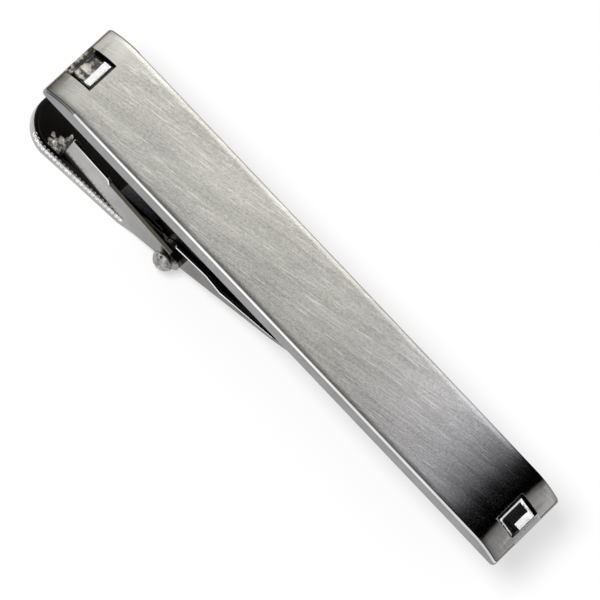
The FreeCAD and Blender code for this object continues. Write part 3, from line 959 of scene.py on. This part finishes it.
def makeSolder():
    spec = solderSpill
    reachX = max(spot["long"] for spot in spec["spots"]) * spec["reach"]
    reachY = max(spot["wide"] for spot in spec["spots"]) * spec["reach"]
    left = min(spot["x"] for spot in spec["spots"]) - reachX
    right = max(spot["x"] for spot in spec["spots"]) + reachX
    near = min(spot["y"] for spot in spec["spots"]) - reachY
    far = max(spot["y"] for spot in spec["spots"]) + reachY
    columns = int((right - left) / spec["cell"])
    rows = int((far - near) / spec["cell"])
    bm = bmesh.new()
    for side in (-1, 1):
        grid = {}
        for column in range(columns):
            for row in range(rows):
                x = left + column * spec["cell"]
                y = near + row * spec["cell"]
                high = spillHeight(x, y, side)
                if high > 0:
                    grid[column, row] = bm.verts.new((x, y * side, spec["floor"] + high))
        for column, row in list(grid):
            corners = [(column, row), (column + 1, row), (column + 1, row + 1), (column, row + 1)]
            if all(corner in grid for corner in corners):
                bm.faces.new([grid[corner] for corner in corners])
    bmesh.ops.delete(bm, geom=[vertex for vertex in bm.verts if not vertex.link_faces], context="VERTS")
    grown = bmesh.ops.extrude_face_region(bm, geom=bm.faces[:])
    for item in grown["geom"]:
        if isinstance(item, bmesh.types.BMVert):
            item.co.z = spec["floor"] - spec["sink"]
    bmesh.ops.recalc_face_normals(bm, faces=bm.faces)
    settleOrder(bm)
    mesh = bpy.data.meshes.new("solderSpill")
    bm.to_mesh(mesh)
    bm.free()
    mesh.materials.append(finishes["solderAndSheen"])
    piece = bpy.data.objects.new("solderSpill", mesh)
    scene.collection.objects.link(piece)
    shadeSmooth(piece, spec["smooth"])
    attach(piece, "lever")
    return piece


solderPiece = makeSolder()
print("solder made:", len(solderPiece.data.polygons), "faces")

# Camera: the photograph looks 30 degrees off the bar's front, rolled so that the bar runs down to the right
photoView = {
    "tilt": math.radians(30.0),
    "roll": math.radians(46.45),
    "imageSize": 600,
    "pixelsPerMetre": 11895.0,
    "barCentrePixel": (303.4, 294.8),
    "lens": 600.0,
    "sensor": 36.0,
    "clipSpan": 100.0,
}


def makeCamera():
    spec = photoView
    back = Vector((0.0, -math.sin(spec["tilt"]), math.cos(spec["tilt"])))
    level = Vector((1.0, 0.0, 0.0))
    across = back.cross(level)
    right = level * math.cos(spec["roll"]) + across * math.sin(spec["roll"])
    up = across * math.cos(spec["roll"]) - level * math.sin(spec["roll"])
    low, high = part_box("bar")
    half = spec["imageSize"] / 2
    offRight = (half - spec["barCentrePixel"][0]) / spec["pixelsPerMetre"]
    offUp = (spec["barCentrePixel"][1] - half) / spec["pixelsPerMetre"]
    aim = (low + high) / 2 + right * offRight + up * offUp
    distance = half / spec["pixelsPerMetre"] * 2 * spec["lens"] / spec["sensor"]
    data = bpy.data.cameras.new("photoCamera")
    data.lens = spec["lens"]
    data.sensor_width = spec["sensor"]
    data.clip_start = distance / spec["clipSpan"]
    data.clip_end = distance * spec["clipSpan"]
    camera = bpy.data.objects.new("photoCamera", data)
    turn = Matrix((right, up, back)).transposed().to_4x4()
    camera.matrix_world = Matrix.Translation(aim + back * distance) @ turn
    scene.collection.objects.link(camera)
    scene.camera = camera


# Floor, lamps and world
studio = {
    "floorSize": 3.0,
    "floorGap": 0.02 * mm,
    "floorColour": (0.5, 0.5, 0.5, 1.0),
    "floorGlow": 0.54,
    "floorRoughness": 0.9,
    "floorSpecular": 0.1,
    "roomLight": 0.37,
    "white": (1.0, 1.0, 1.0, 1.0),
}


# White where the camera, a reflection or a stone looks at it
def seenDirectly(tree):
    rays = makeNode(tree, "ShaderNodeLightPath")
    metal = doMath(tree, "MAXIMUM", rays.outputs["Is Camera Ray"], rays.outputs["Is Glossy Ray"])
    return doMath(tree, "MAXIMUM", metal, rays.outputs["Is Transmission Ray"])


def makeFloor():
    half = studio["floorSize"] / 2
    height = cadBox[0].z - studio["floorGap"]
    mesh = bpy.data.meshes.new("paleFloor")
    corners = [(-half, -half, height), (half, -half, height), (half, half, height), (-half, half, height)]
    mesh.from_pydata(corners, [], [(0, 1, 2, 3)])
    floor = bpy.data.objects.new("paleFloor", mesh)
    scene.collection.objects.link(floor)
    material, tree, shader = newMaterial("floorPaper")[:3]
    feed(tree, shader, {
        "Base Color": studio["floorColour"],
        "Roughness": studio["floorRoughness"],
        "Specular IOR Level": studio["floorSpecular"],
        "Emission Color": studio["white"],
        "Emission Strength": doMath(tree, "MULTIPLY", seenDirectly(tree), studio["floorGlow"]),
    })
    mesh.materials.append(material)


# The lamp lights and shades the part, and mirrors don't show it
lamps = {
    "keyBox": {"place": (-0.15, -0.29, 0.5), "size": 0.2, "power": 2.75},
}


def makeLamp(name):
    spec = lamps[name]
    data = bpy.data.lights.new(name, "AREA")
    data.shape = "SQUARE"
    data.size = spec["size"]
    data.energy = spec["power"]
    lamp = bpy.data.objects.new(name, data)
    place = Vector(spec["place"])
    lamp.matrix_world = Matrix.Translation(place) @ (-place).to_track_quat("-Z", "Y").to_matrix().to_4x4()
    lamp.visible_camera = False
    lamp.visible_glossy = False
    scene.collection.objects.link(lamp)


# Cards that only reflections see. The scrim stands where the bar's front mirrors it: bright at the left,
# black near the right end and dim beyond. The edge card makes the white line on the near long edge.
cards = {
    "gradedScrim": {
        "lean": math.radians(30.0),
        "distance": 0.03,
        "bow": 0.002,
        "bowHalf": 0.0042,
        "alongStops": [
            (-0.2, 0.12), (-0.08, 0.12), (-0.065, 0.5), (-0.052, 0.75), (-0.04, 1.0), (-0.034, 1.2),
            (-0.028, 1.12), (-0.02, 1.0), (-0.012, 1.04), (-0.004, 0.92), (0.006, 0.84), (0.0145, 0.88),
            (0.0172, 0.76), (0.0189, 0.54), (0.0204, 0.34), (0.0216, 0.25), (0.0232, 0.16), (0.026, 0.06),
            (0.031, 0.06), (0.0345, 0.32), (0.04, 0.43), (0.065, 0.43), (0.08, 0.12), (0.2, 0.12),
        ],
        "gateStops": [(-0.2, 1.0), (0.0217, 1.0), (0.0228, 0.0), (0.0318, 0.0), (0.033, 1.0), (0.2, 1.0)],
        "acrossStops": [
            (-0.05, 0.3), (-0.03, 0.3), (-0.0215, 0.11), (-0.0125, 0.11), (-0.0095, 0.74), (-0.004, 0.88),
            (0.004, 1.13), (0.006, 1.4), (0.0072, 2.1), (0.0098, 2.1), (0.0115, 1.4), (0.02, 1.4),
            (0.0235, 0.35), (0.08, 0.35),
        ],
    },
    "edgeCard": {
        "lean": math.radians(-57.0),
        "distance": 0.05,
        "bow": 0.0,
        "bowHalf": 1.0,
        "gateStops": [(-0.06, 1.0), (0.06, 1.0)],
        "alongStops": [
            (-0.06, 0.0), (-0.03, 0.2), (-0.022, 1.0), (0.003, 1.0), (0.01, 0.74), (0.02, 0.72),
            (0.025, 0.55), (0.06, 0.55),
        ],
        "acrossStops": [(-0.0195, 1.35), (0.0085, 1.35)],
    },
}


def makeRamp(tree, value, stops):
    low, high = stops[0][0], stops[-1][0]
    ramp = makeNode(tree, "ShaderNodeValToRGB", None, {"Fac": mapRange(tree, value, low, high, 0.0, 1.0)})
    top = max(level for place, level in stops)
    for index, (place, level) in enumerate(stops):
        share = (place - low) / (high - low)
        if index < 2:
            stop = ramp.color_ramp.elements[index]
            stop.position = share
        else:
            stop = ramp.color_ramp.elements.new(share)
        stop.color = (level / top, level / top, level / top, 1.0)
    return doMath(tree, "MULTIPLY", ramp.outputs["Color"], top)


def makeCard(name):
    spec = cards[name]
    facing = Vector((0.0, math.sin(spec["lean"]), math.cos(spec["lean"])))
    across = Vector((0.0, math.cos(spec["lean"]), -math.sin(spec["lean"])))
    left, right = spec["alongStops"][0][0], spec["alongStops"][-1][0]
    near, far = spec["acrossStops"][0][0], spec["acrossStops"][-1][0]
    corners = []
    for x, y in ((left, near), (right, near), (right, far), (left, far)):
        corners.append(facing * spec["distance"] + across * y + Vector((x, 0.0, 0.0)))
    mesh = bpy.data.meshes.new(name)
    mesh.from_pydata(corners, [], [(0, 1, 2, 3)])
    card = bpy.data.objects.new(name, mesh)
    scene.collection.objects.link(card)
    material = bpy.data.materials.new(name)
    material.use_nodes = True
    tree = material.node_tree
    tree.nodes.clear()
    place = makeNode(tree, "ShaderNodeTexCoord").outputs["Object"]
    x = makeNode(tree, "ShaderNodeSeparateXYZ", None, {0: place}).outputs["X"]
    product = makeNode(tree, "ShaderNodeVectorMath", {"operation": "DOT_PRODUCT"}, {0: place, 1: across})
    y = product.outputs["Value"]
    offset = doMath(tree, "ABSOLUTE", doMath(tree, "DIVIDE", y, spec["bowHalf"]))
    bulge = doMath(tree, "POWER", doMath(tree, "MINIMUM", offset, 1.0), 2.0)
    bowed = doMath(tree, "SUBTRACT", x, doMath(tree, "MULTIPLY", bulge, spec["bow"]))
    lengthways = makeRamp(tree, bowed, spec["alongStops"])
    crossways = makeRamp(tree, y, spec["acrossStops"])
    gate = makeRamp(tree, x, spec["gateStops"])
    level = doMath(tree, "MULTIPLY", doMath(tree, "MULTIPLY", lengthways, crossways), gate)
    glow = makeNode(tree, "ShaderNodeEmission", None, {"Strength": level})
    makeNode(tree, "ShaderNodeOutputMaterial", None, {"Surface": glow.outputs[0]})
    mesh.materials.append(material)
    card.visible_camera = False
    card.visible_diffuse = False
    card.visible_transmission = False
    card.visible_shadow = False


def makeWorld():
    world = bpy.data.worlds.new("studioRoom")
    scene.world = world
    world.use_nodes = True
    tree = world.node_tree
    background = next(node for node in tree.nodes if node.type == "BACKGROUND")
    shown = doMath(tree, "MAXIMUM", seenDirectly(tree), studio["roomLight"])
    tree.links.new(shown, background.inputs["Strength"])
    background.inputs["Color"].default_value = studio["white"]


makeFloor()
for lampName in lamps:
    makeLamp(lampName)
for cardName in cards:
    makeCard(cardName)
makeWorld()
makeCamera()
print("studio ready")
